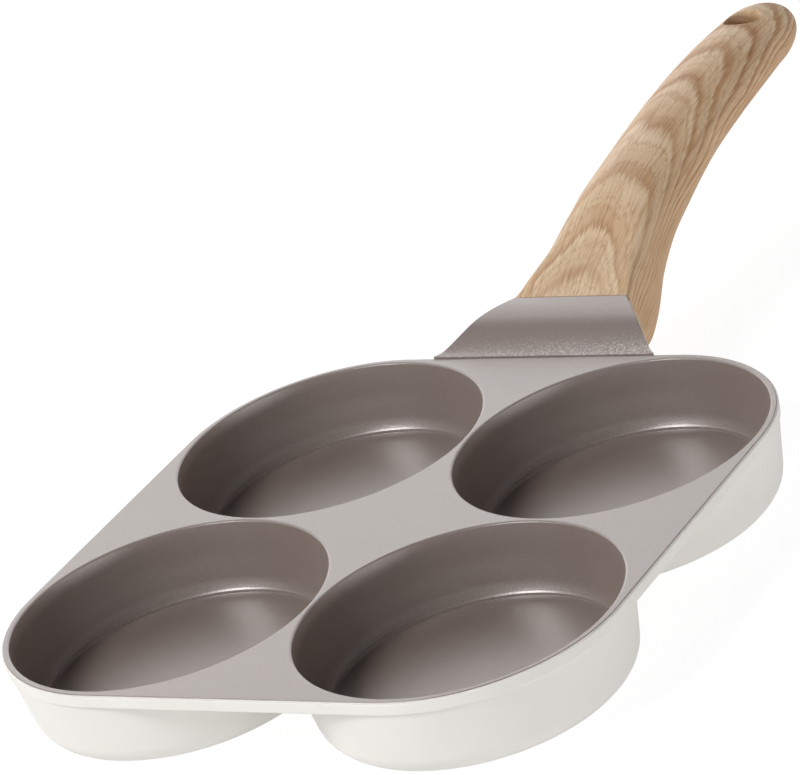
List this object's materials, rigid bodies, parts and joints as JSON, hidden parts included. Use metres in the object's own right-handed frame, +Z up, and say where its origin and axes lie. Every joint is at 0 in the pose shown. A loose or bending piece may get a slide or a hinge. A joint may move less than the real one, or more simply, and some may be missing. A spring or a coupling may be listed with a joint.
{
  "type": "egg pan",
  "caption": "Cast egg pan: round shallow cups side by side under a rounded-square deck, with a curved wood-grained handle and a hang hole, for frying small portions apart.",
  "frame": {"origin": "middle of the overall footprint in X and Y, on the plane that the cup bases stand on", "axes": "+X to the pan's right seen from the side away from the handle, +Y from the cups to the tip of the handle, +Z up"},
  "size_m": [0.1976, 0.3876, 0.0636],
  "materials": {
    "coated_casting": "taupe non-stick coat on the deck and in the cups, cream enamel outside",
    "wood_grain": "satin light brown with open figured grain",
    "disc_steel": "ground, bare",
    "zinc_steel": "bright zinc plating"
  },
  "bodies": {
    "root": {"pan_body": "coated_casting", "handle": "wood_grain", "plain_washer": "zinc_steel", "spring_washer": "zinc_steel", "handle_screw": "zinc_steel", "base_disc_front_left": "disc_steel", "base_disc_front_right": "disc_steel", "base_disc_rear_left": "disc_steel", "base_disc_rear_right": "disc_steel"}
  },
  "joints": []
}
